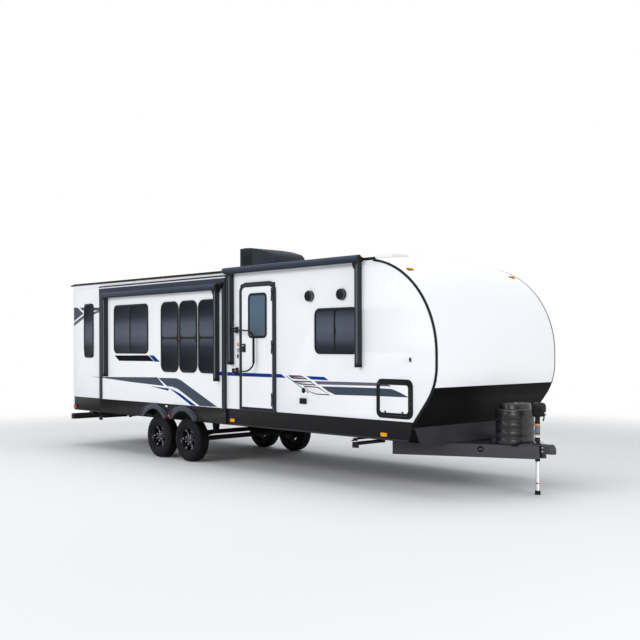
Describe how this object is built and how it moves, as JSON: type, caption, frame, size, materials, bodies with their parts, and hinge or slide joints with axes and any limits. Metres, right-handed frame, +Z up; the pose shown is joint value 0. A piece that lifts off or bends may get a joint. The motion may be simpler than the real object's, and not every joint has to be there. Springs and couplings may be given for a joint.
{
  "type": "travel trailer with slide-out room",
  "caption": "Hard-sided towed camper with a curved front cap, slide-out room, entry door, awnings, tandem axles, tongue jack and stabilisers.",
  "frame": {"origin": "on the ground below the middle of the overall length and the body centre plane", "axes": "+X towards the coupler, +Y towards the off side, +Z up"},
  "size_m": [9.439, 2.6151, 3.3403],
  "materials": {
    "white_panel": "smooth white laminated panel",
    "slide_shell": "white laminated shell",
    "roof_membrane": "matt white membrane",
    "vent_white": "white moulded plastic",
    "black_skirt": "black painted skirt metal",
    "apron_grey": "satin dark grey sheet",
    "slate_trim": "slate grey powder coat",
    "frame_paint": "black chassis paint",
    "tinted_glass": "dark tinted safety glass in a black frame",
    "tyre_rubber": "black tyre rubber",
    "black_rim": "satin black wheel",
    "bright_steel": "zinc plated steel",
    "black_plastic": "black moulded plastic"
  },
  "bodies": {
    "root": {"floor_deck": "frame_paint", "underbelly": "black_plastic", "main_rail_door_side": "frame_paint", "main_rail_off_side": "frame_paint", "a_frame_rail_door_side": "frame_paint", "a_frame_rail_off_side": "frame_paint", "coupler": "frame_paint", "rear_bumper": "frame_paint", "wall_door_side": "white_panel", "wall_off_side": "white_panel", "wall_rear": "white_panel", "roof": "roof_membrane", "front_cap_upper": "white_panel", "front_cap_lower": "black_skirt", "front_apron": "apron_grey", "skirt_door_front": "black_skirt", "skirt_door_rear": "black_skirt", "skirt_off_side": "black_skirt", "window_rear_narrow": "tinted_glass", "window_front_slider": "tinted_glass", "window_off_bedroom": "tinted_glass", "window_off_dinette": "tinted_glass", "door_frame": "slate_trim", "main_awning": "slate_trim", "ac_unit": "black_plastic", "roof_vent": "vent_white", "axle_front": "frame_paint", "axle_rear": "frame_paint", "suspension_door_side": "frame_paint", "suspension_off_side": "frame_paint", "jack_body": "black_plastic", "lp_cover": "black_plastic"},
    "slide_room": {"slide_box": "slide_shell", "slide_wall": "white_panel", "slide_skirt": "black_skirt", "window_slide_slider": "tinted_glass", "window_slide_tall_1": "tinted_glass", "window_slide_tall_2": "tinted_glass", "window_slide_tall_3": "tinted_glass", "slide_awning": "slate_trim"},
    "entry_door": {"entry_door": "white_panel", "door_glass": "tinted_glass"},
    "grab_handle": {"grab_handle": "black_plastic"},
    "baggage_door_door_side": {"baggage_door_door_side": "white_panel"},
    "baggage_door_off_side": {"baggage_door_off_side": "white_panel"},
    "jack_leg": {"jack_leg": "bright_steel"},
    "wheel_door_front": {"tyre_door_front": "tyre_rubber", "rim_door_front": "black_rim"},
    "wheel_door_rear": {"tyre_door_rear": "tyre_rubber", "rim_door_rear": "black_rim"},
    "wheel_off_front": {"tyre_off_front": "tyre_rubber", "rim_off_front": "black_rim"},
    "wheel_off_rear": {"tyre_off_rear": "tyre_rubber", "rim_off_rear": "black_rim"},
    "stabiliser_door_front": {"stabiliser_leg_door_front": "frame_paint"},
    "stabiliser_door_rear": {"stabiliser_leg_door_rear": "frame_paint"},
    "stabiliser_off_front": {"stabiliser_leg_off_front": "frame_paint"},
    "stabiliser_off_rear": {"stabiliser_leg_off_rear": "frame_paint"}
  },
  "joints": [
    {"name": "slide_room_travel", "type": "slide", "parent": "root", "child": "slide_room", "axis": [0, -1, 0], "range_m": [0, 0.86]},
    {"name": "entry_door_hinge", "type": "hinge", "parent": "root", "child": "entry_door", "pos_m": [1.0085, -1.25, 1.78], "axis": [0, 0, 1], "range_deg": [0, 60]},
    {"name": "grab_handle_hinge", "type": "hinge", "parent": "root", "child": "grab_handle", "pos_m": [0.2105, -1.294, 1.73], "axis": [0, 0, -1], "range_deg": [0, 118]},
    {"name": "baggage_door_door_side_hinge", "type": "hinge", "parent": "root", "child": "baggage_door_door_side", "pos_m": [3.259, -1.2273, 1.363], "axis": [-1, 0, 0], "range_deg": [0, 165]},
    {"name": "baggage_door_off_side_hinge", "type": "hinge", "parent": "root", "child": "baggage_door_off_side", "pos_m": [3.259, 1.2273, 1.363], "axis": [1, 0, 0], "range_deg": [0, 165]},
    {"name": "jack_leg_travel", "type": "slide", "parent": "root", "child": "jack_leg", "axis": [0, 0, 1], "range_m": [0, 0.33]},
    {"name": "wheel_door_front_spin", "type": "hinge", "parent": "root", "child": "wheel_door_front", "pos_m": [-1.1245, -1.0675, 0.34], "axis": [0, 1, 0], "continuous": true},
    {"name": "wheel_door_rear_spin", "type": "hinge", "parent": "root", "child": "wheel_door_rear", "pos_m": [-1.9295, -1.0675, 0.34], "axis": [0, 1, 0], "continuous": true},
    {"name": "wheel_off_front_spin", "type": "hinge", "parent": "root", "child": "wheel_off_front", "pos_m": [-1.1245, 1.0675, 0.34], "axis": [0, 1, 0], "continuous": true},
    {"name": "wheel_off_rear_spin", "type": "hinge", "parent": "root", "child": "wheel_off_rear", "pos_m": [-1.9295, 1.0675, 0.34], "axis": [0, 1, 0], "continuous": true},
    {"name": "stabiliser_door_front_fold", "type": "hinge", "parent": "root", "child": "stabiliser_door_front", "pos_m": [2.3805, -0.5, 0.53], "axis": [1, 0, 0], "range_deg": [0, 75]},
    {"name": "stabiliser_door_rear_fold", "type": "hinge", "parent": "root", "child": "stabiliser_door_rear", "pos_m": [-4.0195, -0.5, 0.53], "axis": [1, 0, 0], "range_deg": [0, 75]},
    {"name": "stabiliser_off_front_fold", "type": "hinge", "parent": "root", "child": "stabiliser_off_front", "pos_m": [2.3805, 0.5, 0.53], "axis": [-1, 0, 0], "range_deg": [0, 75]},
    {"name": "stabiliser_off_rear_fold", "type": "hinge", "parent": "root", "child": "stabiliser_off_rear", "pos_m": [-4.0195, 0.5, 0.53], "axis": [-1, 0, 0], "range_deg": [0, 75]}
  ],
  "couplings": [
    {"joint": "grab_handle_hinge", "follows": "entry_door_hinge", "ratio": 1.95}
  ]
}
